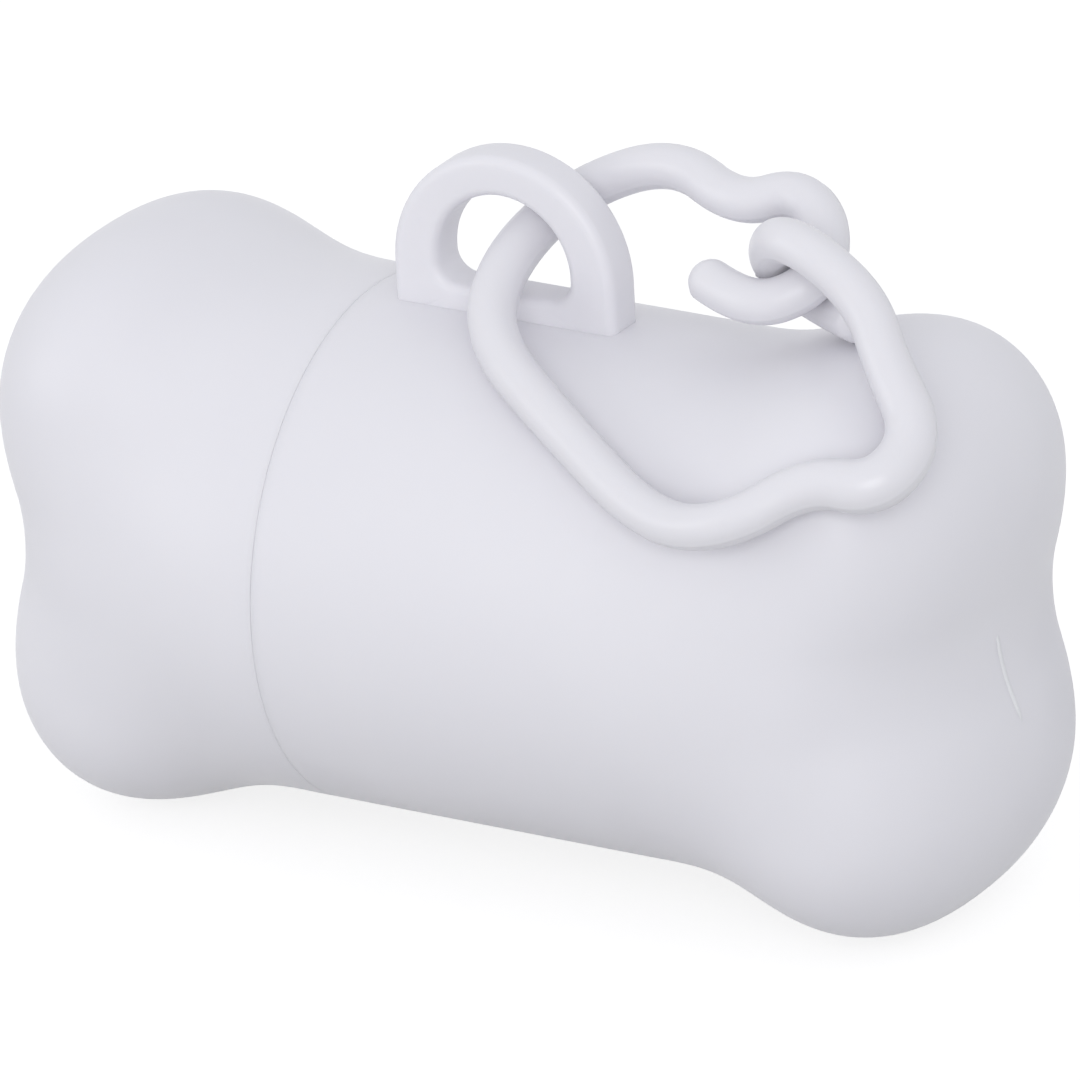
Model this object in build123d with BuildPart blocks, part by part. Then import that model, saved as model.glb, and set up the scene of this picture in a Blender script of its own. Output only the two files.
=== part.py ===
# Bone-shaped dispenser for pet waste bags: a hollow moulded body with a ring on top,
# a cap that screws onto its neck, a one-piece hooked clip through the ring, and a roll
# of bags on a core inside.
#
# Frame, in millimetres: the origin is on the surface that the bone lies on, under its
# middle. +X runs along the bone from the cap to the closed end, +Z is up through the
# ring, and the dispensing slot is on the +Y side.

import os
from math import cos, hypot, pi, radians, sin, sqrt

from build123d import *

os.makedirs("parts", exist_ok=True)

# Bone: a straight barrel with a knuckle at each end. Knuckle sizes along X are counted
# from its root, where the straight barrel ends.
barrel_radius = 20.0
straight_half = 12.5
shoulder_end = 14.2  # where the barrel would end inside the knuckle
shoulder_run = 12.4  # length of its rounded end
shoulder_drop = 5.7  # depth of its rounded end
lobe_centre = 18.2  # from the root to the middle of a lobe
lobe_rise = 10.2  # from the bone's axis up or down to the middle of a lobe
lobe_reach = 10.5  # half length, half width and half height of a lobe
lobe_half_width = 16.5
lobe_half_height = 12.4
lobe_fullness = 2.3  # 2 is an ellipsoid, more is squarer across the bone
belly_centre = 17.5  # the mass between the two lobes of a knuckle
belly_reach = 8.1
belly_half_width = 16.4
belly_half_height = 12.8
groove_blend = 5.4  # how softly the lobes run into each other
waist_blend = 7.6  # how softly the knuckle runs into the barrel
wall = 1.5

# Screw joint of the cap. The thread itself is too fine for this model.
seam_gap = 0.2
collar_wall = 2.15
neck_length = 7.0
neck_wall = 1.9
neck_clearance = 0.25
neck_root = 2.0  # how far the neck's thick root reaches into the body
cap_stop = 0.6  # from the end of the neck to the end of the cap's bore

# Ring moulded on top of the body, at its middle.
ring_band = 3.3  # from the hole's side to the ring's side
ring_thickness = 3.8
ring_hole_radius = 6.0
ring_hole_sill = 1.0  # from the barrel's top to the foot of the hole
ring_hole_height = 8.8
ring_crown = 3.0  # from the hole's top to the ring's top
ring_rounding = 1.2
sill_rounding = 2.4

# Dispensing slot on the +Y side.
slot_length = 19.0
slot_width = 5.0
slot_shift = 1.5
slot_rounding = 0.5

# Bag roll. It lies in the chamber on the neck's bore.
roll_play = 2.3  # radial play of the roll in the neck
roll_seat_gap = 0.3
roll_end_gap = 1.2  # from the rim of the roll to the wall of the chamber
roll_end_play = 1.5  # how much shorter than the chamber the roll is, at each end
core_radius = 6.0
core_wall = 0.8

# Clip: one bent rod. Its bends are counted in the plane that it lies in, from the place
# where that plane crosses the ring: along the bone, across it, and out of the plane.
rod_radius = 1.7
rest_gap = 0.3
clip_climb = 35.0  # slope of the clip's plane across the bone, in degrees
clip_shift = 0.9  # from the middle of the ring to the crossing, along X
clip_drop = 3.3  # from the top of the ring's hole down to the crossing
clip_route = [
    (17.2, -3.1, 1.4),
    (20.4, -5.0, 1.9),
    (25.2, -3.0, 1.0),
    (24.4, 2.9, -0.1),
    (20.5, 6.1, 0.2),
    (16.1, 3.7, 0.2),
    (9.5, 7.3, 0.3),
    (2.1, 4.8, -0.6),
    (-1.1, -2.4, -0.3),
    (1.4, -10.0, 0.8),
    (9.8, -16.6, 0.2),
    (19.1, -23.0, -1.5),
    (26.3, -23.6, 0.0),
    (32.2, -19.1, 0.7),
    (37.1, -17.7, -0.3),
    (37.3, -12.6, -0.9),
    (32.1, -5.6, 1.3),
    (28.0, -2.2, 4.8),
    (22.6, -0.4, 4.5),
    (19.5, -0.8, -0.8),
    (22.7, -1.5, -4.3),
    (28.6, -4.9, -1.0),
]

# Surface resolution of the knuckles.
rings_per_knuckle = 14
spokes_per_ring = 28


# ---- the bone's outer form, as a distance from its skin -------------------------------


def blended(first, second, softness):
    share = min(max(0.5 + 0.5 * (second - first) / softness, 0.0), 1.0)
    return second * (1 - share) + first * share - softness * share * (1 - share)


def lobe_distance(along, across, up):
    x = (along - lobe_centre) / lobe_reach
    y = abs(across) / lobe_half_width
    z = up / lobe_half_height
    radial = max(hypot(x, z), 1e-9)
    largest = max(radial, y)
    size = (radial / largest) ** lobe_fullness + (y / largest) ** lobe_fullness
    size = largest * size ** (1 / lobe_fullness)
    slope = (radial / size) ** (lobe_fullness - 1) / radial
    slope_x = slope * x / lobe_reach
    slope_y = (y / size) ** (lobe_fullness - 1) / lobe_half_width
    slope_z = slope * z / lobe_half_height
    return (size - 1) / sqrt(slope_x**2 + slope_y**2 + slope_z**2)


def belly_distance(along, across, up):
    x = (along - belly_centre) / belly_reach
    y = across / belly_half_width
    z = up / belly_half_height
    size = max(sqrt(x * x + y * y + z * z), 1e-9)
    slope_x = x / belly_reach
    slope_y = y / belly_half_width
    slope_z = z / belly_half_height
    slope = max(sqrt(slope_x**2 + slope_y**2 + slope_z**2), 1e-9)
    return size * (size - 1) / slope


def barrel_distance(along, across, up):
    radial = hypot(across, up)
    past_edge = (along - shoulder_end + shoulder_run) / shoulder_run
    past_rim = (radial - barrel_radius + shoulder_drop) / shoulder_drop
    if past_edge <= 0 or past_rim <= 0:
        return max(along - shoulder_end, radial - barrel_radius)
    size = hypot(past_edge, past_rim)
    return (size - 1) * size / hypot(past_edge / shoulder_run, past_rim / shoulder_drop)


def skin_distance(along, across, up):
    # Below zero inside the bone. The place is counted from the knuckle's root.
    upper = lobe_distance(along, across, up - lobe_rise)
    lower = lobe_distance(along, across, up + lobe_rise)
    knuckle = blended(upper, lower, groove_blend)
    knuckle = blended(knuckle, belly_distance(along, across, up), groove_blend)
    return blended(knuckle, barrel_distance(along, across, up), waist_blend)


def skin_gap(place):
    # The distance made true beside the skin, by its slope there.
    along = abs(place.X) - straight_half
    here = skin_distance(along, place.Y, place.Z)
    step = 0.01
    slopes = [
        (skin_distance(along + step, place.Y, place.Z) - here) / step,
        (skin_distance(along, place.Y + step, place.Z) - here) / step,
        (skin_distance(along, place.Y, place.Z + step) - here) / step,
    ]
    return here / hypot(*slopes)


def skin_point(polar, turn, depth):
    # Where a ray from the middle of the root meets the skin, or the face that lies
    # depth below it.
    way = (cos(polar), sin(polar) * cos(turn), sin(polar) * sin(turn))
    reach = 1.0
    while skin_distance(*(reach * part for part in way)) + depth < 0:
        reach += 1.0
    inside, outside = reach - 1.0, reach
    for _ in range(40):
        reach = (inside + outside) / 2
        if skin_distance(*(reach * part for part in way)) + depth < 0:
            inside = reach
        else:
            outside = reach
    return tuple(reach * part for part in way)


def knuckle_solid(depth):
    # Skinned from the round root to the tip on the bone's axis, in the root's frame.
    root = Plane(origin=(0, 0, 0), x_dir=(0, 1, 0), z_dir=(1, 0, 0))
    sections = [Wire([Edge.make_circle(barrel_radius - depth, root)])]
    marks = [spoke / spokes_per_ring for spoke in range(spokes_per_ring + 1)]
    for ring in range(1, rings_per_knuckle):
        polar = pi / 2 * (1 - ring / rings_per_knuckle)
        points = [skin_point(polar, 2 * pi * mark, depth) for mark in marks[:-1]]
        outline = Edge.make_spline(points, periodic=True, parameters=marks)
        sections.append(Wire([outline]))
    sections.append(Vertex(*skin_point(0.0, 0.0, depth)))
    return Solid.make_loft(sections)


# ---- places that follow from the sizes -------------------------------------------------

axis_height = -min(skin_point(pi / 2 * step / 90, -pi / 2, 0.0)[2] for step in range(1, 90))
seam = -straight_half
collar_bore = barrel_radius - collar_wall
neck_radius = collar_bore - neck_clearance
neck_bore = neck_radius - neck_wall

ring_hole_foot = barrel_radius + ring_hole_sill
ring_hole_top = ring_hole_foot + ring_hole_height
ring_hole_arc = ring_hole_top - ring_hole_radius
ring_half_width = ring_hole_radius + ring_band
ring_arc = ring_hole_top + ring_crown - ring_half_width
ring_foot = sqrt(barrel_radius**2 - (ring_thickness / 2) ** 2) - wall / 2
ring_back = (0, ring_thickness / 2, axis_height)
ring_plane = Plane(origin=ring_back, x_dir=(1, 0, 0), z_dir=(0, -1, 0))

roll_radius = neck_bore - roll_play
roll_axis = roll_seat_gap - roll_play


def roll_reach():
    # How far past the straight barrel a roll end stays clear of the chamber's wall.
    turns = [2 * pi * spoke / spokes_per_ring for spoke in range(spokes_per_ring)]
    rim = [(roll_radius * cos(turn), roll_axis + roll_radius * sin(turn)) for turn in turns]
    reach = 0.0
    while max(skin_distance(reach, *place) for place in rim) + wall + roll_end_gap < 0:
        reach += 0.1
    return reach


roll_half_length = straight_half + roll_reach() - roll_end_play



def corner_radius(before, corner, after):
    # The largest round bend that leaves each run a tenth of its length straight.
    shorter = min((corner - before).length, (after - corner).length)
    half_turn = radians((corner - before).get_angle(after - corner)) / 2
    return 0.45 * shorter * cos(half_turn) / sin(half_turn)


bends = [Vector(*point) for point in clip_route]
bend_radii = [corner_radius(*bends[place - 1 : place + 2]) for place in range(1, len(bends) - 1)]
with BuildLine() as flat_rod:
    FilletPolyline(*bends, radius=bend_radii)
rod_length = flat_rod.wire().length
rod_places = [flat_rod.wire() @ (step / 200) for step in range(201)]

crossing = Vector(clip_shift, 0, ring_hole_top - clip_drop)


def clip_plane(swing):
    # The plane climbs towards the back and swings up on the ring about the Y axis.
    return Plane(Pos(crossing) * Rot(0, -swing, 0) * Rot(clip_climb, 0, 0))


def clip_clearance(swing):
    # Least gap between the rod and the bone, both measured from the bone's axis.
    places = [clip_plane(swing).from_local_coords(place) for place in rod_places]
    return min(skin_gap(place) for place in places) - rod_radius


def clip_rest_swing():
    # The clip swings down until its rod rests on the bone.
    clear, blocked = 45.0, -45.0
    for _ in range(30):
        swing = (clear + blocked) / 2
        if clip_clearance(swing) > rest_gap:
            clear = swing
        else:
            blocked = swing
    return clear


def clip_self_gap():
    # Least gap between two places on the rod that are well apart along it.
    apart = int(6 * rod_radius / rod_length * 200)
    gaps = []
    for place in range(len(rod_places) - apart):
        later = rod_places[place + apart :]
        gaps.append(min((rod_places[place] - other).length for other in later))
    return min(gaps) - 2 * rod_radius


# ---- body -------------------------------------------------------------------------------

across_bone = Plane(origin=(0, 0, axis_height), x_dir=(0, 1, 0), z_dir=(1, 0, 0))
closed_end = Pos(straight_half, 0, axis_height)
cap_end = Pos(-straight_half, 0, axis_height) * Rot(0, 0, 180)
outer_knuckle = knuckle_solid(0.0)
inner_knuckle = knuckle_solid(wall)

# an arch with an arched hole, rounded along the edges that show
with BuildPart() as ring:
    with BuildSketch(ring_plane):
        with BuildLine():
            Polyline(
                (-ring_half_width, ring_arc),
                (-ring_half_width, ring_foot),
                (ring_half_width, ring_foot),
                (ring_half_width, ring_arc),
            )
            CenterArc((0, ring_arc), ring_half_width, 0, 180)
        make_face()
    extrude(amount=ring_thickness)
    with BuildSketch(ring_plane) as ring_hole:
        with BuildLine():
            Polyline(
                (-ring_hole_radius, ring_hole_arc),
                (-ring_hole_radius, ring_hole_foot),
                (ring_hole_radius, ring_hole_foot),
                (ring_hole_radius, ring_hole_arc),
            )
            CenterArc((0, ring_hole_arc), ring_hole_radius, 0, 180)
        make_face()
        fillet(ring_hole.vertices().group_by(Axis.Y)[0], radius=sill_rounding)
    extrude(amount=ring_thickness, mode=Mode.SUBTRACT)
    flat_sides = ring.faces().filter_by(Axis.Y)
    buried = axis_height + ring_foot
    rims = flat_sides.edges().filter_by(lambda rim: rim.center().Z > buried + 0.01)
    fillet(rims, radius=ring_rounding)

with BuildPart() as body:
    with BuildSketch(across_bone.offset(seam)):
        Circle(barrel_radius)
    extrude(amount=2 * straight_half)
    add(closed_end * outer_knuckle)
    add(ring.part)

    # neck that the cap screws onto
    with BuildSketch(across_bone.offset(seam - neck_length)):
        Circle(neck_radius)
    extrude(amount=neck_length)

    # chamber, and the narrower way in through the neck
    with BuildSketch(across_bone.offset(seam - neck_length)):
        Circle(neck_bore)
    extrude(amount=neck_length + neck_root, mode=Mode.SUBTRACT)
    with BuildSketch(across_bone.offset(seam + neck_root)):
        Circle(barrel_radius - wall)
    extrude(amount=2 * straight_half - neck_root, mode=Mode.SUBTRACT)
    add(closed_end * inner_knuckle, mode=Mode.SUBTRACT)

    # dispensing slot with a rounded rim
    with BuildSketch(Plane.XZ):
        with Locations((slot_shift, axis_height)):
            SlotOverall(slot_length, slot_width)
    extrude(amount=-barrel_radius - wall, mode=Mode.SUBTRACT)
    slot_edges = body.edges(Select.LAST)
    slot_rim = slot_edges.filter_by(lambda edge: edge.center().Y > barrel_radius - wall / 2)
    fillet(slot_rim, radius=slot_rounding)

body.part.label = "body"
export_step(body.part, "parts/body.step")

# ---- cap --------------------------------------------------------------------------------

bore_depth = neck_length + cap_stop

# the hollow: a round bore for the neck, and the knuckle's inside beyond it
with BuildPart() as cap_hollow:
    add(cap_end * inner_knuckle)
    with BuildSketch(across_bone.offset(seam - bore_depth)):
        Circle(2 * barrel_radius)
    extrude(amount=2 * bore_depth, mode=Mode.SUBTRACT)
    with BuildSketch(across_bone.offset(seam - bore_depth)):
        Circle(collar_bore)
    extrude(amount=bore_depth)

with BuildPart() as end_cap:
    add(cap_end * outer_knuckle)
    add(cap_hollow.part, mode=Mode.SUBTRACT)
    with BuildSketch(across_bone.offset(seam - seam_gap)):
        Circle(2 * barrel_radius)
    extrude(amount=2 * seam_gap, mode=Mode.SUBTRACT)

end_cap.part.label = "end_cap"
export_step(end_cap.part, "parts/end_cap.step")

# ---- bag roll ---------------------------------------------------------------------------

roll_plane = across_bone.offset(-roll_half_length)
with BuildPart() as roll_core:
    with BuildSketch(roll_plane):
        with Locations((0, roll_axis)):
            Circle(core_radius)
            Circle(core_radius - core_wall, mode=Mode.SUBTRACT)
    extrude(amount=2 * roll_half_length)

roll_core.part.label = "roll_core"
export_step(roll_core.part, "parts/roll_core.step")

with BuildPart() as bag_roll:
    with BuildSketch(roll_plane):
        with Locations((0, roll_axis)):
            Circle(roll_radius)
            Circle(core_radius, mode=Mode.SUBTRACT)
    extrude(amount=2 * roll_half_length)

bag_roll.part.label = "bag_roll"
export_step(bag_roll.part, "parts/bag_roll.step")

# ---- clip -------------------------------------------------------------------------------

rest_swing = clip_rest_swing()
rest_plane = Plane(Pos(0, 0, axis_height) * clip_plane(rest_swing).location)
resting_bends = [rest_plane.from_local_coords(bend) for bend in bends]

with BuildPart() as clip:
    with BuildLine() as rod_line:
        FilletPolyline(*resting_bends, radius=bend_radii)
    with BuildSketch(Plane(origin=rod_line.line @ 0, z_dir=rod_line.line % 0)):
        Circle(rod_radius)
    sweep(path=rod_line.wire())
    with Locations(rod_line.line @ 0, rod_line.line @ 1):
        Sphere(rod_radius)

clip.part.label = "clip"
export_step(clip.part, "parts/clip.step")

print("axis height", round(axis_height, 2), "crossing", crossing + Vector(0, 0, axis_height))
print("clip swing", round(rest_swing, 2), "tightest bend", round(min(bend_radii), 2))
print("clip's least gap to itself", round(clip_self_gap(), 2))
print("clip volume", round(clip.part.volume, 1), "rod", round(pi * rod_radius**2 * rod_length, 1))
print("roll radius", round(roll_radius, 2), "half length", round(roll_half_length, 2))
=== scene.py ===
from math import cos, pi, radians, sin, sqrt

import bmesh
import bpy
import numpy as np
from mathutils import Matrix, Vector


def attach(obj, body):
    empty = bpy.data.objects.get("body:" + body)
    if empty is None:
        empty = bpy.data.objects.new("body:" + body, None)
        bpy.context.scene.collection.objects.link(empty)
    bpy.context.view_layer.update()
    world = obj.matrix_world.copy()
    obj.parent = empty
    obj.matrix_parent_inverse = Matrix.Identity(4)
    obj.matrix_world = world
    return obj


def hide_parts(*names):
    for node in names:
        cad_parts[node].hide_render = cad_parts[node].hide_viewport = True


# A bone-shaped bag dispenser: two moulded shells, a ring, a hooked clip and a roll of bags.
# Sizes in the dictionaries are millimetres, and meshes are made in metres.
# Most places are counted from the bone's own axis, with X along it.

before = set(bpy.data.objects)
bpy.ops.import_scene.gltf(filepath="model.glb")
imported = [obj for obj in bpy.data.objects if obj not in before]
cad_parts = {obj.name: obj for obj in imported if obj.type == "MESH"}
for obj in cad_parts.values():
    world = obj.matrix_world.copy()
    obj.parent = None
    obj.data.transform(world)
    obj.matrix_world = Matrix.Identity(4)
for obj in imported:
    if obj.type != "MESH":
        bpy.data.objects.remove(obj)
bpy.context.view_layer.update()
mm = 0.001
print("frame loaded")

# The camera stands where the photograph's did: a long lens, a little above and to the right.
view = {
    "turn": 31.51, "lift": 22.81, "roll": -2.97, "distance": 1200.0,
    "lens": 540.35, "target": (-0.061, 0.921, 23.806),
}


def placeCamera():
    turn, lift, roll = (radians(view[key]) for key in ("turn", "lift", "roll"))
    back = Vector((sin(turn) * cos(lift), -cos(turn) * cos(lift), sin(lift)))
    level = Vector((cos(turn), sin(turn), 0))
    upright = back.cross(level)
    right = cos(roll) * level + sin(roll) * upright
    up = cos(roll) * upright - sin(roll) * level
    lens = bpy.data.cameras.new("camera")
    lens.lens, lens.sensor_width = view["lens"], 36
    lens.clip_start, lens.clip_end = 0.05, 20
    camera = bpy.data.objects.new("camera", lens)
    bpy.context.scene.collection.objects.link(camera)
    place = (Vector(view["target"]) + back * view["distance"]) * mm
    camera.matrix_world = Matrix.Translation(place) @ Matrix((right, up, back)).transposed().to_4x4()
    bpy.context.scene.camera = camera


placeCamera()


# Helpers.

def linkAll(links, pairs):
    for source, target in pairs:
        links.new(source, target)


def linkMesh(name, mesh):
    piece = bpy.data.objects.new(name, mesh)
    bpy.context.scene.collection.objects.link(piece)
    return piece


def loopMesh(name, loops, place, closed=False):
    # Quads between loops of equal length; the end loops get a fan, or join each other.
    count, rows = len(loops[0]), len(loops)
    bm = bmesh.new()
    verts = [bm.verts.new(place @ (Vector(p) * mm)) for loop in loops for p in loop]
    for row in range(rows if closed else rows - 1):
        following = (row + 1) % rows
        for i in range(count):
            j = (i + 1) % count
            bm.faces.new((verts[row * count + i], verts[row * count + j],
                          verts[following * count + j], verts[following * count + i]))
    if not closed:
        for row in (0, rows - 1):
            ends = verts[row * count:(row + 1) * count]
            middle = bm.verts.new(sum((v.co for v in ends), Vector()) / count)
            for i in range(count):
                bm.faces.new((ends[i], ends[(i + 1) % count], middle))
    bmesh.ops.recalc_face_normals(bm, faces=bm.faces)
    mesh = bpy.data.meshes.new(name)
    bm.to_mesh(mesh)
    bm.free()
    return linkMesh(name, mesh)


def smooth(piece, sharpAngle=50):
    piece.data.shade_smooth()
    piece.data.set_sharp_from_angle(angle=radians(sharpAngle))


def bake(piece, name):
    # The evaluated shape as a plain mesh, in place of the piece and its modifiers.
    bpy.context.view_layer.update()
    graph = bpy.context.evaluated_depsgraph_get()
    mesh = bpy.data.meshes.new_from_object(piece.evaluated_get(graph))
    bpy.data.objects.remove(piece)
    mesh.name = name
    return linkMesh(name, mesh)


def setInput(modifier, label, value):
    for item in modifier.node_group.interface.items_tree:
        if item.item_type == "SOCKET" and item.in_out == "INPUT" and item.name == label:
            modifier[item.identifier] = value
            return
    raise KeyError(label)


# The bone's form: lobes, a belly between them and a round-ended barrel, run into each other.
bone = {
    "barrelRadius": 20.0, "straightHalf": 12.5,
    "shoulderEnd": 14.2, "shoulderRun": 12.4, "shoulderDrop": 5.7,
    "lobeCentre": 18.2, "lobeRise": 10.2, "lobeReach": 10.5,
    "lobeHalfWidth": 16.5, "lobeHalfHeight": 12.4, "lobeFullness": 2.3,
    "bellyCentre": 17.5, "bellyReach": 8.1, "bellyHalfWidth": 16.4, "bellyHalfHeight": 12.8,
    "grooveBlend": 5.4, "waistBlend": 7.6,
    "wall": 1.5, "seamGap": 0.01, "edgeRound": 0.06, "edgeMiddle": 0.3,
    "spokes": 192, "outerRings": 90, "innerRings": 40,
    "axisHeight": 22.618, "searchReach": 45.0, "halvings": 36,
}


def blended(first, second, softness):
    share = np.clip(0.5 + 0.5 * (second - first) / softness, 0.0, 1.0)
    return second * (1 - share) + first * share - softness * share * (1 - share)


def lobeDistance(p, rise):
    x = (p[:, 0] - bone["lobeCentre"]) / bone["lobeReach"]
    y = np.abs(p[:, 1]) / bone["lobeHalfWidth"]
    z = (p[:, 2] - rise) / bone["lobeHalfHeight"]
    power = bone["lobeFullness"]
    radial = np.maximum(np.hypot(x, z), 1e-9)
    size = (radial ** power + y ** power) ** (1 / power)
    slope = (radial / size) ** (power - 1) / radial
    slopeX = slope * x / bone["lobeReach"]
    slopeY = (y / size) ** (power - 1) / bone["lobeHalfWidth"]
    slopeZ = slope * z / bone["lobeHalfHeight"]
    return (size - 1) / np.sqrt(slopeX ** 2 + slopeY ** 2 + slopeZ ** 2)


def bellyDistance(p):
    half = np.array([bone["bellyReach"], bone["bellyHalfWidth"], bone["bellyHalfHeight"]])
    q = (p - [bone["bellyCentre"], 0, 0]) / half
    size = np.maximum(np.linalg.norm(q, axis=1), 1e-9)
    return size * (size - 1) / np.maximum(np.linalg.norm(q / half, axis=1), 1e-9)


def barrelDistance(p):
    radial = np.hypot(p[:, 1], p[:, 2])
    run, drop = bone["shoulderRun"], bone["shoulderDrop"]
    pastEdge = (p[:, 0] - bone["shoulderEnd"] + run) / run
    pastRim = (radial - bone["barrelRadius"] + drop) / drop
    inside = np.maximum(p[:, 0] - bone["shoulderEnd"], radial - bone["barrelRadius"])
    size = np.maximum(np.hypot(pastEdge, pastRim), 1e-9)
    slope = np.maximum(np.hypot(pastEdge / run, pastRim / drop), 1e-9)
    rounded = (size - 1) * size / slope
    return np.where((pastEdge <= 0) | (pastRim <= 0), inside, rounded)


def skinDistance(p):
    upper = lobeDistance(p, bone["lobeRise"])
    lower = lobeDistance(p, -bone["lobeRise"])
    knuckle = blended(upper, lower, bone["grooveBlend"])
    knuckle = blended(knuckle, bellyDistance(p), bone["grooveBlend"])
    return blended(knuckle, barrelDistance(p), bone["waistBlend"])


def reachAlong(origin, ways, depth=0.0):
    # How far each way runs inside the skin, set in by depth.
    near, far = np.zeros(len(ways)), np.full(len(ways), bone["searchReach"])
    for _ in range(bone["halvings"]):
        middle = (near + far) / 2
        inside = skinDistance(origin + ways * middle[:, None]) + depth < 0
        near, far = np.where(inside, middle, near), np.where(inside, far, middle)
    return near


def knuckleLoops(start, depth, rings):
    # Loops from the plane at start to just short of the tip, by rays from its middle.
    turns = np.arange(bone["spokes"]) * 2 * pi / bone["spokes"]
    loops = []
    for ring in range(rings):
        polar = pi / 2 * (1 - ring / (rings - 0.5))
        ways = np.stack([np.full_like(turns, cos(polar)), sin(polar) * np.cos(turns),
                         sin(polar) * np.sin(turns)], axis=1)
        origin = np.array([start, 0, 0])
        points = origin + ways * reachAlong(origin, ways, depth)[:, None]
        loops.append(points + [bone["straightHalf"], 0, 0])
    return loops


def roundLoop(x, radius, rise=None):
    turns = np.arange(bone["spokes"]) * 2 * pi / bone["spokes"]
    radii = np.full_like(turns, radius) if rise is None else radius + rise(x, turns)
    return np.stack([np.full_like(turns, x), radii * np.cos(turns), radii * np.sin(turns)], axis=1)


outerKnuckle = knuckleLoops(0.0, 0.0, bone["outerRings"])
innerKnuckle = knuckleLoops(0.0, bone["wall"], bone["innerRings"])
bodyPlace = Matrix.Translation((0, 0, bone["axisHeight"] * mm))
capPlace = bodyPlace @ Matrix.Rotation(pi, 4, "Z")
print("knuckle's lowest place", round(min(loop[:, 2].min() for loop in outerKnuckle), 3))


# Materials.

def newMaterial(name):
    material = bpy.data.materials.new(name)
    material.use_nodes = True
    tree = material.node_tree
    return material, tree.nodes, tree.links, tree.nodes["Principled BSDF"]


def mouldedSurfaceGroup():
    # Fine moulded grain, slow tone changes and a slightly uneven gloss.
    group = bpy.data.node_groups.new("mouldedSurface", "ShaderNodeTree")
    face = group.interface
    for label, kind, value in (
        ("Base", "NodeSocketColor", (0.8, 0.8, 0.8, 1)),
        ("Shade", "NodeSocketColor", (0.76, 0.76, 0.76, 1)),
        ("Grain Scale", "NodeSocketFloat", 900.0), ("Grain Depth", "NodeSocketFloat", 0.05),
        ("Gloss Low", "NodeSocketFloat", 0.34), ("Gloss High", "NodeSocketFloat", 0.46),
    ):
        face.new_socket(label, in_out="INPUT", socket_type=kind).default_value = value
    face.new_socket("Color", in_out="OUTPUT", socket_type="NodeSocketColor")
    face.new_socket("Roughness", in_out="OUTPUT", socket_type="NodeSocketFloat")
    face.new_socket("Normal", in_out="OUTPUT", socket_type="NodeSocketVector")
    nodes, links = group.nodes, group.links
    given, out = nodes.new("NodeGroupInput"), nodes.new("NodeGroupOutput")
    coords = nodes.new("ShaderNodeTexCoord")
    slow = nodes.new("ShaderNodeTexNoise")
    slow.inputs["Scale"].default_value = 55
    slow.inputs["Detail"].default_value = 3
    grain = nodes.new("ShaderNodeTexNoise")
    grain.inputs["Detail"].default_value = 2
    tone = nodes.new("ShaderNodeMix")
    tone.data_type = "RGBA"
    gloss = nodes.new("ShaderNodeMapRange")
    gloss.inputs["From Min"].default_value = 0.35
    gloss.inputs["From Max"].default_value = 0.65
    bump = nodes.new("ShaderNodeBump")
    bump.inputs["Distance"].default_value = 0.0001
    linkAll(links, (
        (coords.outputs["Object"], slow.inputs["Vector"]),
        (coords.outputs["Object"], grain.inputs["Vector"]),
        (given.outputs["Grain Scale"], grain.inputs["Scale"]),
        (slow.outputs["Fac"], tone.inputs["Factor"]),
        (given.outputs["Base"], tone.inputs[6]),
        (given.outputs["Shade"], tone.inputs[7]),
        (slow.outputs["Fac"], gloss.inputs["Value"]),
        (given.outputs["Gloss Low"], gloss.inputs["To Min"]),
        (given.outputs["Gloss High"], gloss.inputs["To Max"]),
        (grain.outputs["Fac"], bump.inputs["Height"]),
        (given.outputs["Grain Depth"], bump.inputs["Strength"]),
        (tone.outputs[2], out.inputs["Color"]),
        (gloss.outputs["Result"], out.inputs["Roughness"]),
        (bump.outputs["Normal"], out.inputs["Normal"]),
    ))
    return group


mouldedSurface = mouldedSurfaceGroup()


# Colours, the grain's scale and depth, and the roughness where it is glossiest and dullest.
plastics = {
    "whiteShellPlastic": {
        "base": (0.80, 0.79, 0.825), "shade": (0.77, 0.76, 0.80),
        "grainScale": 700, "grainDepth": 0.05, "glossLow": 0.36, "glossHigh": 0.46,
    },
    # Lighter than the shell plastic: a painted highlight for the scar's glint, not a whiter plastic.
    "scarGlintPaintPlastic": {
        "base": (0.87, 0.865, 0.885), "shade": (0.84, 0.835, 0.86),
        "grainScale": 700, "grainDepth": 0.05, "glossLow": 0.40, "glossHigh": 0.50,
    },
    "whiteClipPlastic": {
        "base": (0.78, 0.77, 0.805), "shade": (0.76, 0.75, 0.785),
        "grainScale": 1100, "grainDepth": 0.06, "glossLow": 0.30, "glossHigh": 0.40,
    },
}


def mouldedPlastic(name, base, shade, grainScale, grainDepth, glossLow, glossHigh):
    material, nodes, links, shader = newMaterial(name)
    surface = nodes.new("ShaderNodeGroup")
    surface.node_tree = mouldedSurface
    for label, value in (("Base", (*base, 1)), ("Shade", (*shade, 1)), ("Grain Scale", grainScale),
                         ("Grain Depth", grainDepth), ("Gloss Low", glossLow), ("Gloss High", glossHigh)):
        surface.inputs[label].default_value = value
    links.new(surface.outputs["Color"], shader.inputs["Base Color"])
    links.new(surface.outputs["Roughness"], shader.inputs["Roughness"])
    links.new(surface.outputs["Normal"], shader.inputs["Normal"])
    shader.inputs["IOR"].default_value = 1.49
    shader.inputs["Subsurface Weight"].default_value = 0.25
    shader.inputs["Subsurface Radius"].default_value = (1.0, 0.95, 0.9)
    shader.inputs["Subsurface Scale"].default_value = 0.0012
    return material


shellPlastic, scarGlintPlastic, clipPlastic = (mouldedPlastic(name, **finish) for name, finish in plastics.items())


film = {
    "dark": (0.018, 0.019, 0.022, 1), "light": (0.045, 0.047, 0.052, 1),
    "creaseStretch": (40, 400, 400), "creaseDepth": 0.0002, "glossLow": 0.22, "glossHigh": 0.48,
}


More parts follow.
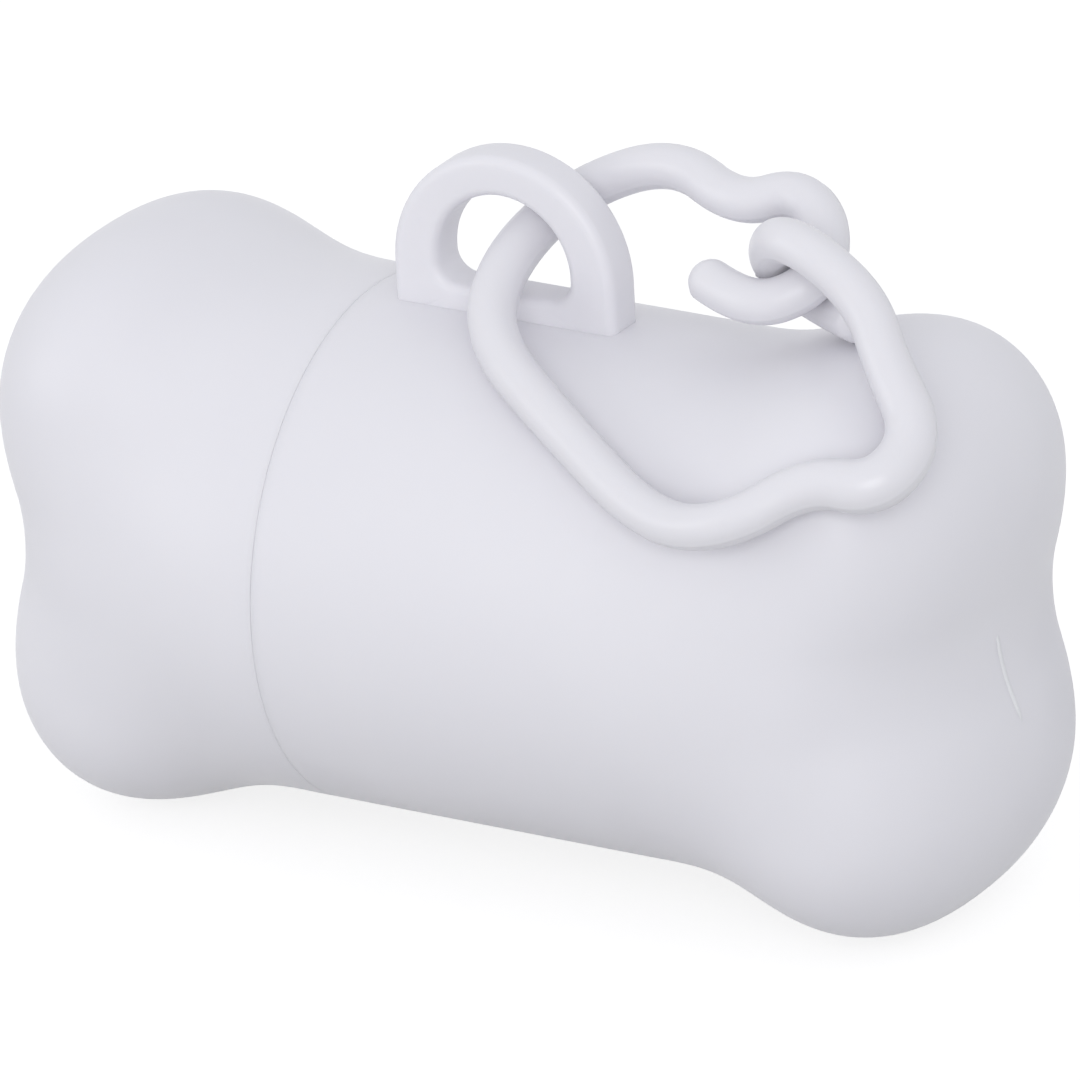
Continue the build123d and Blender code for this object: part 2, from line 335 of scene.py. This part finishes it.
def filmMaterial():
    # Thin dark film with fine creases along the roll.
    material, nodes, links, shader = newMaterial("darkBagFilm")
    coords = nodes.new("ShaderNodeTexCoord")
    stretch = nodes.new("ShaderNodeMapping")
    stretch.inputs["Scale"].default_value = film["creaseStretch"]
    crease = nodes.new("ShaderNodeTexNoise")
    crease.inputs["Scale"].default_value = 1.6
    crease.inputs["Detail"].default_value = 4
    tone = nodes.new("ShaderNodeMix")
    tone.data_type = "RGBA"
    tone.inputs[6].default_value = film["dark"]
    tone.inputs[7].default_value = film["light"]
    bump = nodes.new("ShaderNodeBump")
    bump.inputs["Distance"].default_value = film["creaseDepth"]
    bump.inputs["Strength"].default_value = 0.5
    gloss = nodes.new("ShaderNodeMapRange")
    gloss.inputs["To Min"].default_value = film["glossLow"]
    gloss.inputs["To Max"].default_value = film["glossHigh"]
    linkAll(links, (
        (coords.outputs["Object"], stretch.inputs["Vector"]),
        (stretch.outputs["Vector"], crease.inputs["Vector"]),
        (crease.outputs["Fac"], tone.inputs["Factor"]),
        (crease.outputs["Fac"], bump.inputs["Height"]),
        (crease.outputs["Fac"], gloss.inputs["Value"]),
        (tone.outputs[2], shader.inputs["Base Color"]),
        (gloss.outputs["Result"], shader.inputs["Roughness"]),
        (bump.outputs["Normal"], shader.inputs["Normal"]),
    ))
    return material


card = {
    "dark": (0.30, 0.215, 0.135, 1), "light": (0.46, 0.35, 0.235, 1), "stripEdge": (0.16, 0.11, 0.07, 1),
    "fibreScale": 1400, "stripScale": 16, "stripSlant": 35, "stripEdgeWidth": 0.08, "roughness": 0.85,
}


def cardMaterial():
    # Grey-brown card with fibres and the slanting edges of its wound strip.
    material, nodes, links, shader = newMaterial("coreCard")
    coords = nodes.new("ShaderNodeTexCoord")
    fibre = nodes.new("ShaderNodeTexNoise")
    fibre.inputs["Scale"].default_value = card["fibreScale"]
    fibre.inputs["Detail"].default_value = 5
    turned = nodes.new("ShaderNodeMapping")
    turned.inputs["Rotation"].default_value = (0, 0, radians(card["stripSlant"]))
    strip = nodes.new("ShaderNodeTexWave")
    strip.inputs["Scale"].default_value = card["stripScale"]
    strip.inputs["Distortion"].default_value = 0.6
    edge = nodes.new("ShaderNodeMapRange")
    edge.inputs["From Max"].default_value = card["stripEdgeWidth"]
    tone, dim = nodes.new("ShaderNodeMix"), nodes.new("ShaderNodeMix")
    tone.data_type = dim.data_type = "RGBA"
    tone.inputs[6].default_value = card["dark"]
    tone.inputs[7].default_value = card["light"]
    dim.inputs[6].default_value = card["stripEdge"]
    bump = nodes.new("ShaderNodeBump")
    bump.inputs["Distance"].default_value = 0.0001
    bump.inputs["Strength"].default_value = 0.4
    shader.inputs["Roughness"].default_value = card["roughness"]
    linkAll(links, (
        (coords.outputs["Object"], fibre.inputs["Vector"]),
        (coords.outputs["Object"], turned.inputs["Vector"]),
        (turned.outputs["Vector"], strip.inputs["Vector"]),
        (strip.outputs["Fac"], edge.inputs["Value"]),
        (fibre.outputs["Fac"], tone.inputs["Factor"]),
        (edge.outputs["Result"], dim.inputs["Factor"]),
        (tone.outputs[2], dim.inputs[7]),
        (dim.outputs[2], shader.inputs["Base Color"]),
        (fibre.outputs["Fac"], bump.inputs["Height"]),
        (bump.outputs["Normal"], shader.inputs["Normal"]),
    ))
    return material


bagFilm = filmMaterial()
coreCard = cardMaterial()
print("materials made")


# Geometry node trees: a moulded rod, and film wound into a roll.

def newTree(name, inputs):
    tree = bpy.data.node_groups.new(name, "GeometryNodeTree")
    tree.interface.new_socket("Geometry", in_out="INPUT", socket_type="NodeSocketGeometry")
    for label, kind, value in inputs:
        socket = tree.interface.new_socket(label, in_out="INPUT", socket_type=kind)
        if value is not None:
            socket.default_value = value
    tree.interface.new_socket("Geometry", in_out="OUTPUT", socket_type="NodeSocketGeometry")
    return tree, tree.nodes, tree.links, tree.nodes.new("NodeGroupInput"), tree.nodes.new("NodeGroupOutput")


def reckon(tree, operation, *values, clamp=False):
    node = tree.nodes.new("ShaderNodeMath")
    node.operation = operation
    node.use_clamp = clamp
    for socket, value in zip(node.inputs, values):
        if isinstance(value, (int, float)):
            socket.default_value = value
        else:
            tree.links.new(value, socket)
    return node.outputs[0]


def finishTree(tree, geometry, given, out):
    real = tree.nodes.new("GeometryNodeRealizeInstances")
    paint = tree.nodes.new("GeometryNodeSetMaterial")
    tree.links.new(geometry, real.inputs["Geometry"])
    tree.links.new(real.outputs["Geometry"], paint.inputs["Geometry"])
    tree.links.new(given.outputs["Material"], paint.inputs["Material"])
    tree.links.new(paint.outputs["Geometry"], out.inputs["Geometry"])


def mouldedRodTree():
    # Follows a curve, with round tips and a fine parting ridge on the inside and the outside.
    tree, nodes, links, given, out = newTree("mouldedRod", (
        ("Radius", "NodeSocketFloat", 0.001), ("Sides", "NodeSocketInt", 32),
        ("Step", "NodeSocketFloat", 0.0003), ("Ridge", "NodeSocketFloat", 0.0),
        ("Ridge Width", "NodeSocketFloat", 0.08), ("Tip", "NodeSocketFloat", 0.001),
        ("Material", "NodeSocketMaterial", None),
    ))
    spaced = nodes.new("GeometryNodeResampleCurve")
    spaced.mode = "LENGTH"
    upright = nodes.new("GeometryNodeSetCurveNormal")
    upright.mode = "Z_UP"
    along, whole = nodes.new("GeometryNodeSplineParameter"), nodes.new("GeometryNodeSplineLength")
    profile = nodes.new("GeometryNodeCurvePrimitiveCircle")
    raised = nodes.new("GeometryNodeSetPosition")
    sweep = nodes.new("GeometryNodeCurveToMesh")
    sweep.inputs["Fill Caps"].default_value = True
    # the scale follows a circle over each tip, and stays just over nothing at its end
    left = reckon(tree, "SUBTRACT", whole.outputs["Length"], along.outputs["Length"])
    fromEnd = reckon(tree, "MINIMUM", along.outputs["Length"], left)
    back = reckon(tree, "SUBTRACT", 1.0, reckon(tree, "DIVIDE", fromEnd, given.outputs["Tip"], clamp=True))
    tip = reckon(tree, "SQRT", reckon(tree, "SUBTRACT", 1.0004, reckon(tree, "MULTIPLY", back, back)))
    scale = reckon(tree, "MULTIPLY", tip, nodes.new("GeometryNodeInputRadius").outputs["Radius"])
    # the ridge stands out where the profile meets the parting plane
    place, parts = nodes.new("GeometryNodeInputPosition"), nodes.new("ShaderNodeSeparateXYZ")
    links.new(place.outputs["Position"], parts.inputs["Vector"])
    offAxis = reckon(tree, "DIVIDE", reckon(tree, "ABSOLUTE", parts.outputs["Y"]), given.outputs["Radius"])
    away = reckon(tree, "DIVIDE", offAxis, given.outputs["Ridge Width"])
    near = reckon(tree, "SUBTRACT", 1.0, away, clamp=True)
    height = reckon(tree, "MULTIPLY", near, given.outputs["Ridge"])
    lift = reckon(tree, "DIVIDE", height, given.outputs["Radius"])
    offset = nodes.new("ShaderNodeVectorMath")
    offset.operation = "SCALE"
    linkAll(links, (
        (given.outputs["Geometry"], spaced.inputs["Curve"]),
        (given.outputs["Step"], spaced.inputs["Length"]),
        (spaced.outputs["Curve"], upright.inputs["Curve"]),
        (place.outputs["Position"], offset.inputs[0]),
        (lift, offset.inputs["Scale"]),
        (given.outputs["Sides"], profile.inputs["Resolution"]),
        (given.outputs["Radius"], profile.inputs["Radius"]),
        (profile.outputs["Curve"], raised.inputs["Geometry"]),
        (offset.outputs["Vector"], raised.inputs["Offset"]),
        (upright.outputs["Curve"], sweep.inputs["Curve"]),
        (raised.outputs["Geometry"], sweep.inputs["Profile Curve"]),
        (scale, sweep.inputs["Scale"]),
    ))
    finishTree(tree, sweep.outputs["Mesh"], given, out)
    return tree


def woundFilmTree():
    # One strip wound about Z, whose turns don't lie quite level.
    tree, nodes, links, given, out = newTree("woundFilm", (
        ("Inner Radius", "NodeSocketFloat", 0.006), ("Outer Radius", "NodeSocketFloat", 0.014),
        ("Turns", "NodeSocketFloat", 20.0), ("Width", "NodeSocketFloat", 0.06),
        ("Thickness", "NodeSocketFloat", 0.0002), ("Unevenness", "NodeSocketFloat", 0.0003),
        ("Steps Per Turn", "NodeSocketInt", 96), ("Sway Scale", "NodeSocketFloat", 160.0),
        ("Material", "NodeSocketMaterial", None),
    ))
    spiral = nodes.new("GeometryNodeCurveSpiral")
    spiral.inputs["Height"].default_value = 0.0
    upright = nodes.new("GeometryNodeSetCurveNormal")
    upright.mode = "Z_UP"
    section = nodes.new("GeometryNodeCurvePrimitiveQuadrilateral")
    sweep = nodes.new("GeometryNodeCurveToMesh")
    sweep.inputs["Fill Caps"].default_value = True
    place, noise = nodes.new("GeometryNodeInputPosition"), nodes.new("ShaderNodeTexNoise")
    noise.inputs["Detail"].default_value = 1
    shifted, upward = nodes.new("GeometryNodeSetPosition"), nodes.new("ShaderNodeCombineXYZ")
    centred = reckon(tree, "SUBTRACT", noise.outputs["Fac"], 0.5)
    sway = reckon(tree, "MULTIPLY", centred, given.outputs["Unevenness"])
    linkAll(links, (
        (sway, upward.inputs["Z"]),
        (given.outputs["Inner Radius"], spiral.inputs["Start Radius"]),
        (given.outputs["Outer Radius"], spiral.inputs["End Radius"]),
        (given.outputs["Turns"], spiral.inputs["Rotations"]),
        (given.outputs["Steps Per Turn"], spiral.inputs["Resolution"]),
        (given.outputs["Sway Scale"], noise.inputs["Scale"]),
        (place.outputs["Position"], noise.inputs["Vector"]),
        (spiral.outputs["Curve"], shifted.inputs["Geometry"]),
        (upward.outputs["Vector"], shifted.inputs["Offset"]),
        (shifted.outputs["Geometry"], upright.inputs["Curve"]),
        (given.outputs["Thickness"], section.inputs["Width"]),
        (given.outputs["Width"], section.inputs["Height"]),
        (upright.outputs["Curve"], sweep.inputs["Curve"]),
        (section.outputs["Curve"], sweep.inputs["Profile Curve"]),
    ))
    finishTree(tree, sweep.outputs["Mesh"], given, out)
    return tree


mouldedRod = mouldedRodTree()
woundFilm = woundFilmTree()


def rodAlong(name, points, girths, place, **sizes):
    # A rod on the smooth curve that these points pull into shape, thicker where the girth is over 1.
    curve = bpy.data.curves.new(name + "Path", "CURVE")
    curve.dimensions = "3D"
    curve.resolution_u = 24
    spline = curve.splines.new("NURBS")
    spline.points.add(len(points) - 1)
    for point, at, girth in zip(spline.points, points, girths):
        point.co, point.radius = (*(Vector(at) * mm), 1), girth
    spline.order_u = 3
    spline.use_endpoint_u = True
    path = linkMesh(name + "Path", curve)
    modifier = path.modifiers.new("rod", "NODES")
    modifier.node_group = mouldedRod
    for label, value in sizes.items():
        setInput(modifier, label, value)
    rod = bake(path, name)
    rod.data.transform(place)
    return rod


# The body: closed end, barrel, threaded neck and chamber, in one run of loops.
neck = {
    "length": 7.0, "crestRadius": 17.6, "rootRadius": 17.1, "boreRadius": 15.7, "rootReach": 2.0,
    "threadPitch": 2.7, "threadWidth": 0.42, "threadLevel": 1.6, "threadFall": 2.4, "runOut": 1.0,
    "rows": 64, "barrelRows": 26, "chamberRows": 12,
    "fillet": 0.3, "filletMiddle": 0.09, "margin": 0.4, "rimRound": 0.4, "rimMiddle": 0.12, "boreRound": 0.15,
}


def threadRise(height, first, last):
    # A rounded ridge that winds round the axis and fades out at both ends.
    def rise(x, turns):
        phase = (x / neck["threadPitch"] - turns / (2 * pi)) % 1.0
        fall = neck["threadFall"] * np.abs(phase - 0.5) / neck["threadWidth"]
        ridge = np.clip(neck["threadLevel"] - fall, 0, 1)
        ridge = ridge * ridge * (3 - 2 * ridge)
        return height * ridge * np.clip(min(x - first, last - x) / neck["runOut"], 0, 1)
    return rise


def bodyLoops():
    seam, edge, barrel = -bone["straightHalf"], bone["edgeRound"], bone["barrelRadius"]
    cut = edge * bone["edgeMiddle"]
    chamber, bore, root = barrel - bone["wall"], neck["boreRadius"], neck["rootRadius"]
    end, step = seam - neck["length"], seam + neck["rootReach"]
    fillet, middle, margin = neck["fillet"], neck["filletMiddle"], neck["margin"]
    rim, rimMiddle, boreRound = neck["rimRound"], neck["rimMiddle"], neck["boreRound"]
    rise = threadRise(neck["crestRadius"] - root, end + margin, seam - margin)
    loops = outerKnuckle[::-1]
    loops += [roundLoop(x, barrel) for x in np.linspace(-seam, seam + edge, neck["barrelRows"])[1:]]
    loops += [roundLoop(seam + cut, barrel - cut), roundLoop(seam, barrel - edge)]
    loops += [roundLoop(seam, root + fillet), roundLoop(seam - middle, root + middle)]
    loops += [roundLoop(seam - fillet, root)]
    loops += [roundLoop(x, root, rise) for x in np.linspace(seam - margin, end + margin, neck["rows"])]
    loops += [roundLoop(end + rimMiddle, root - rimMiddle), roundLoop(end, root - rim)]
    loops += [roundLoop(end, bore + boreRound), roundLoop(end + boreRound, bore)]
    loops += [roundLoop(step, bore), roundLoop(step, chamber)]
    loops += [roundLoop(x, chamber) for x in np.linspace(step, -seam, neck["chamberRows"])[1:-1]]
    return loops + innerKnuckle


bodyShell = loopMesh("bodyShell", bodyLoops(), bodyPlace)

# The slot in the barrel's far side, whose rim flares over a quarter circle.
slot = {
    "length": 19.0, "width": 5.0, "shift": 1.5, "rimRound": 0.5, "rimSunk": 0.1,
    "cutDepth": 6.0, "cutPast": 1.5, "cutFlare": 0.02, "points": 20, "rimSteps": 9,
}


def slotLoop(y, grow):
    half, straight = slot["width"] / 2 + grow, (slot["length"] - slot["width"]) / 2
    turns = np.linspace(-pi / 2, pi / 2, slot["points"])
    right = [(slot["shift"] + straight + half * cos(t), y, half * sin(t)) for t in turns]
    left = [(slot["shift"] - straight - half * cos(t), y, -half * sin(t)) for t in turns]
    return right + left


def cutSlot(shell):
    rim, skin = slot["rimRound"], bone["barrelRadius"] - slot["rimSunk"]
    turns = np.linspace(0, pi / 2, slot["rimSteps"])
    levels = [(skin - slot["cutDepth"], 0.0)]
    levels += [(skin - rim + rim * sin(t), rim * (1 - cos(t))) for t in turns]
    levels += [(skin + slot["cutPast"], rim + slot["cutFlare"])]
    cutter = loopMesh("slotCutter", [slotLoop(y, grow) for y, grow in levels], bodyPlace)
    cut = shell.modifiers.new("slot", "BOOLEAN")
    cut.operation, cut.solver, cut.object = "DIFFERENCE", "EXACT", cutter
    shell = bake(shell, "bodyShellWithSlot")
    bpy.data.objects.remove(cutter)
    return shell


bodyShell = cutSlot(bodyShell)
bodyShell.name = "bodyShell"
bodyShell.data.materials.clear()
bodyShell.data.materials.append(shellPlastic)
smooth(bodyShell)
print("body shell:", len(bodyShell.data.polygons), "faces")


# The ring on top: an arch with a D-shaped hole, whose foot goes into the wall.
ring = {
    "halfWidth": 9.4, "thickness": 3.8, "shift": -0.5, "holeRadius": 5.6, "holeSill": 1.8,
    "holeHeight": 7.55, "crown": 3.15, "edgeRound": 0.8, "sillRound": 1.7, "footRound": 0.4,
    "edgeSteps": 7, "arcPoints": 57, "bendPoints": 12, "straightPoints": 8,
}


def archLoop(halfWidth, arcHeight, foot, corner, y):
    # From the middle of the foot, up the right side, over the top and down.
    arcTurns = np.linspace(0, pi, ring["arcPoints"])
    arc = [(halfWidth * cos(t), arcHeight + halfWidth * sin(t)) for t in arcTurns]
    bendTurns = np.linspace(-pi / 2, 0, ring["bendPoints"])
    bend = [(halfWidth - corner + corner * cos(t), foot + corner + corner * sin(t)) for t in bendTurns]
    across = np.linspace(0, halfWidth - corner, ring["straightPoints"] + 1)[:-1]
    up = np.linspace(foot + corner, arcHeight, ring["straightPoints"] + 1)[1:-1]
    right = [(x, foot) for x in across] + bend + [(halfWidth, z) for z in up]
    left = [(-x, z) for x, z in right[:0:-1]]
    return [(x + ring["shift"], y, z) for x, z in right + arc + left]


def ringLoops():
    holeFoot = bone["barrelRadius"] + ring["holeSill"]
    holeTop = holeFoot + ring["holeHeight"]
    holeArc = holeTop - ring["holeRadius"]
    outerArc = holeTop + ring["crown"] - ring["halfWidth"]
    foot = sqrt(bone["barrelRadius"] ** 2 - (ring["thickness"] / 2) ** 2) - bone["wall"] / 2
    r, half = ring["edgeRound"], ring["thickness"] / 2
    turns = np.linspace(0, pi / 2, ring["edgeSteps"])

    def outside(inset, y):
        return archLoop(ring["halfWidth"] - inset, outerArc, foot, ring["footRound"], y)

    def inside(grow, y):
        return archLoop(ring["holeRadius"] + grow, holeArc, holeFoot - grow, ring["sillRound"] + grow, y)

    loops = [outside(r - r * sin(t), -half + r - r * cos(t)) for t in turns]
    loops += [outside(r - r * cos(t), half - r + r * sin(t)) for t in turns]
    loops += [inside(r - r * sin(t), half - r + r * cos(t)) for t in turns]
    loops += [inside(r - r * cos(t), -half + r - r * sin(t)) for t in turns]
    return loops


ringPiece = loopMesh("ring", ringLoops(), bodyPlace, closed=True)
ringPiece.data.materials.append(shellPlastic)
smooth(ringPiece)
print("ring made")


# The cap: built like the closed end and turned round, with a grooved bore.
cap = {
    "boreRadius": 17.85, "grooveDepth": 0.5, "boreDepth": 7.6, "rows": 70,
    "boreRound": 0.3, "grooveStart": 0.5, "margin": 0.4,
}


def capLoops():
    face, edge, barrel = bone["seamGap"], bone["edgeRound"], bone["barrelRadius"]
    cut = edge * bone["edgeMiddle"]
    seam, end = bone["straightHalf"] + face, bone["straightHalf"] + cap["boreDepth"]
    bore, boreRound, margin = cap["boreRadius"], cap["boreRound"], cap["margin"]
    rise = threadRise(cap["grooveDepth"], seam + cap["grooveStart"], end - margin)
    loops = knuckleLoops(face + edge, 0.0, bone["outerRings"])[::-1]
    loops += [roundLoop(seam + cut, barrel - cut), roundLoop(seam, barrel - edge)]
    loops += [roundLoop(seam, bore + boreRound), roundLoop(seam + boreRound, bore)]
    loops += [roundLoop(x, bore, rise) for x in np.linspace(seam + margin, end, cap["rows"])]
    return loops + knuckleLoops(cap["boreDepth"], bone["wall"], bone["innerRings"])


capShell = loopMesh("capShell", capLoops(), capPlace)
capShell.data.materials.append(shellPlastic)
smooth(capShell)
print("cap shell:", len(capShell.data.polygons), "faces")


# The scar that the mould leaves on the closed end, a thin raised line. Its plastic is lighter than the
# shell's, which paints a highlight along the ridge.
scar = {
    "top": 1.9, "bottom": -6.3, "topShift": -1.6, "bottomShift": 0.3, "points": 9,
    "radius": 0.3, "sunk": 0.2, "sides": 16, "step": 0.1, "tip": 1.6,
}


def scarPoints():
    heights = np.linspace(scar["top"], scar["bottom"], scar["points"])
    shifts = np.linspace(scar["topShift"], scar["bottomShift"], scar["points"])
    ways = np.tile([1.0, 0, 0], (len(heights), 1))
    origins = np.stack([np.zeros_like(heights), shifts, heights], axis=1)
    reach = reachAlong(origins, ways)
    return [(bone["straightHalf"] + x - scar["sunk"], y, z) for x, y, z in zip(reach, shifts, heights)]


scarLine = rodAlong(
    "mouldScar", scarPoints(), [1.0] * scar["points"], bodyPlace,
    Radius=scar["radius"] * mm, Sides=scar["sides"], Step=scar["step"] * mm, Ridge=0.0,
    Tip=scar["tip"] * mm, Material=scarGlintPlastic)
smooth(scarLine)


# The clip: one bent rod. Its bends are counted in its own plane, from where that plane
# crosses the ring: along the bone, across it, out of the plane, and the rod's girth there.
clip = {
    "radius": 1.7, "ridge": 0.06, "sides": 72, "step": 0.3, "sharpAngle": 60,
    "climb": 35.0, "swing": 3.68, "shift": 0.9, "height": 26.5,
    "bends": [
        (17.0, -3.2, 0.4, 1.0), (20.7, -5.3, 0.4, 1.0), (25.4, -2.7, 0.3, 1.0),
        (24.8, 2.3, -0.1, 1.0), (20.9, 5.8, 0.2, 1.0), (16.5, 3.6, 0.2, 1.0),
        (9.5, 7.5, 0.1, 1.0), (1.2, 5.0, -1.8, 1.0), (-1.0, -3.0, 0.0, 1.1),
        (0.9, -10.3, 0.8, 1.04), (9.6, -16.7, 0.2, 1.0), (19.1, -23.0, -1.5, 1.0),
        (26.3, -23.6, 0.0, 1.0), (31.8, -19.0, 0.7, 1.04), (37.0, -18.9, -0.2, 1.24),
        (38.2, -13.6, -0.7, 1.12), (34.5, -9.2, 1.4, 1.0), (32.0, -5.2, 3.0, 1.0),
        (27.5, -2.7, 5.2, 1.0), (23.7, -1.6, 5.2, 1.0), (20.3, -0.3, -0.7, 1.0),
        (22.8, -0.5, -5.2, 1.0), (28.4, -3.6, -2.0, 1.0),
    ],
}


def clipPath():
    # Each tip is rounded past the last bend by the rod's radius.
    bends = [Vector(bend[:3]) for bend in clip["bends"]]
    first = bends[0] + (bends[0] - bends[1]).normalized() * clip["radius"]
    last = bends[-1] + (bends[-1] - bends[-2]).normalized() * clip["radius"]
    return [first] + bends[1:-1] + [last]


clipOrigin = Matrix.Translation((clip["shift"] * mm, 0, clip["height"] * mm))
clipSwing = Matrix.Rotation(radians(-clip["swing"]), 4, "Y")
clipClimb = Matrix.Rotation(radians(clip["climb"]), 4, "X")
clipPlace = bodyPlace @ clipOrigin @ clipSwing @ clipClimb
clipRod = rodAlong(
    "clipRod", clipPath(), [bend[3] for bend in clip["bends"]], clipPlace,
    Radius=clip["radius"] * mm, Sides=clip["sides"], Step=clip["step"] * mm, Ridge=clip["ridge"] * mm,
    Tip=clip["radius"] * mm, Material=clipPlastic)
smooth(clipRod, clip["sharpAngle"])
print("clip:", len(clipRod.data.polygons), "faces")


# The card core and the bags wound on it.
roll = {
    "radius": 13.4, "axis": -2.0, "halfLength": 30.2, "coreRadius": 6.0, "coreWall": 0.8,
    "coreRound": 0.12, "coreRings": 13, "coreGap": 0.05,
    "turns": 24.0, "film": 0.2, "unevenness": 0.5, "spokes": 96, "sharpAngle": 40,
}


def coreLoops():
    outer, half, cut = roll["coreRadius"], roll["halfLength"], roll["coreRound"]
    inner = outer - roll["coreWall"]
    turns = np.arange(roll["spokes"]) * 2 * pi / roll["spokes"]
    profile = [(-half, outer - cut), (-half + cut, outer)]
    profile += [(x, outer) for x in np.linspace(-half, half, roll["coreRings"])[1:-1]]
    profile += [(half - cut, outer), (half, outer - cut), (half, inner + cut), (half - cut, inner)]
    profile += [(-half + cut, inner), (-half, inner + cut)]
    return [[(x, r * cos(t), r * sin(t)) for t in turns] for x, r in profile]


rollPlace = bodyPlace @ Matrix.Translation((0, 0, roll["axis"] * mm))
cardCore = loopMesh("cardCore", coreLoops(), rollPlace, closed=True)
cardCore.data.materials.append(coreCard)
smooth(cardCore)


def bagWinding():
    carrier = linkMesh("bagWinding", bpy.data.meshes.new("bagWinding"))
    modifier = carrier.modifiers.new("winding", "NODES")
    modifier.node_group = woundFilm
    half = roll["film"] / 2
    for label, value in (
        ("Inner Radius", (roll["coreRadius"] + half + roll["coreGap"]) * mm),
        ("Outer Radius", (roll["radius"] - half) * mm),
        ("Turns", roll["turns"]),
        ("Width", (2 * roll["halfLength"] - roll["unevenness"]) * mm),
        ("Thickness", roll["film"] * mm),
        ("Unevenness", roll["unevenness"] * mm),
        ("Material", bagFilm),
    ):
        setInput(modifier, label, value)
    winding = bake(carrier, "bagWinding")
    winding.data.transform(rollPlace @ Matrix.Rotation(pi / 2, 4, "Y"))
    return winding


bags = bagWinding()
smooth(bags, roll["sharpAngle"])
print("roll:", len(bags.data.polygons), "faces")


# Floor, light and world. The camera sees them white, and the floor keeps a soft shadow.
studio = {
    "floorHalf": 3.0, "floorColor": (0.6, 0.6, 0.6), "floorShare": 0.5, "floorGlow": 0.8,
    "worldColor": (0.95, 0.965, 1.0), "worldStrength": 0.78, "lampDistance": 1.4, "lampSize": 0.8,
    "lamps": {
        "front": {"turn": 28, "lift": 24, "power": 5.4},
        "left": {"turn": -50, "lift": 12, "power": 2.2},
    },
}


def seenWhite(nodes, links):
    path = nodes.new("ShaderNodeLightPath")
    first, second = nodes.new("ShaderNodeMath"), nodes.new("ShaderNodeMath")
    first.operation = second.operation = "MAXIMUM"
    links.new(path.outputs["Is Camera Ray"], first.inputs[0])
    links.new(path.outputs["Is Glossy Ray"], first.inputs[1])
    links.new(first.outputs[0], second.inputs[0])
    links.new(path.outputs["Is Transmission Ray"], second.inputs[1])
    return second.outputs[0]


def makeFloor():
    half = studio["floorHalf"]
    mesh = bpy.data.meshes.new("floor")
    corners = [(-half, -half, 0), (half, -half, 0), (half, half, 0), (-half, half, 0)]
    mesh.from_pydata(corners, [], [(0, 1, 2, 3)])
    floor = linkMesh("floor", mesh)
    material, nodes, links, shader = newMaterial("paleFloor")
    shader.inputs["Base Color"].default_value = (*studio["floorColor"], 1)
    shader.inputs["Roughness"].default_value = 0.9
    shader.inputs["Specular IOR Level"].default_value = 0.1
    glow = nodes.new("ShaderNodeEmission")
    glow.inputs["Strength"].default_value = studio["floorGlow"]
    dark = nodes.new("ShaderNodeEmission")
    dark.inputs["Strength"].default_value = 0.0
    dimmed, both = nodes.new("ShaderNodeMixShader"), nodes.new("ShaderNodeAddShader")
    seen = nodes.new("ShaderNodeMixShader")
    dimmed.inputs["Fac"].default_value = studio["floorShare"]
    linkAll(links, (
        (dark.outputs["Emission"], dimmed.inputs[1]),
        (shader.outputs["BSDF"], dimmed.inputs[2]),
        (dimmed.outputs["Shader"], both.inputs[0]),
        (glow.outputs["Emission"], both.inputs[1]),
        (seenWhite(nodes, links), seen.inputs["Fac"]),
        (shader.outputs["BSDF"], seen.inputs[1]),
        (both.outputs["Shader"], seen.inputs[2]),
        (seen.outputs["Shader"], nodes["Material Output"].inputs["Surface"]),
    ))
    mesh.materials.append(material)


def makeWorld():
    world = bpy.data.worlds.new("studio")
    bpy.context.scene.world = world
    world.use_nodes = True
    nodes, links = world.node_tree.nodes, world.node_tree.links
    soft, white = nodes["Background"], nodes.new("ShaderNodeBackground")
    seen = nodes.new("ShaderNodeMixShader")
    soft.inputs["Color"].default_value = (*studio["worldColor"], 1)
    soft.inputs["Strength"].default_value = studio["worldStrength"]
    white.inputs["Color"].default_value = (1, 1, 1, 1)
    white.inputs["Strength"].default_value = 1.0
    linkAll(links, (
        (seenWhite(nodes, links), seen.inputs["Fac"]),
        (soft.outputs["Background"], seen.inputs[1]),
        (white.outputs["Background"], seen.inputs[2]),
        (seen.outputs["Shader"], nodes["World Output"].inputs["Surface"]),
    ))


def addLamp(name, turn, lift, power):
    # Turned and lifted about the object as the camera is.
    lamp = bpy.data.lights.new(name, "AREA")
    lamp.shape, lamp.size, lamp.energy = "DISK", studio["lampSize"], power
    holder = bpy.data.objects.new(name, lamp)
    bpy.context.scene.collection.objects.link(holder)
    turn, lift = radians(turn), radians(lift)
    outward = Vector((sin(turn) * cos(lift), -cos(turn) * cos(lift), sin(lift)))
    place = Vector((0, 0, bone["axisHeight"] * mm)) + outward * studio["lampDistance"]
    holder.matrix_world = Matrix.Translation(place) @ outward.to_track_quat("Z", "Y").to_matrix().to_4x4()


makeFloor()
makeWorld()
for lampName, lampSizes in studio["lamps"].items():
    addLamp(lampName + "Lamp", **lampSizes)
bpy.context.scene.view_settings.view_transform = "Standard"
print("floor, world and lamps set")

# Each piece rides on its body and stands for its solid.
for piece, rides, finish, solid in (
    (bodyShell, "body", "shell", "body"), (ringPiece, "body", "shell", "body"),
    (scarLine, "body", "shell", "body"), (capShell, "cap", "shell", "end_cap"),
    (clipRod, "clip", "clip", "clip"), (cardCore, "roll", "core", "roll_core"),
    (bags, "roll", "bags", "bag_roll"),
):
    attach(piece, rides)
    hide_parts(solid)
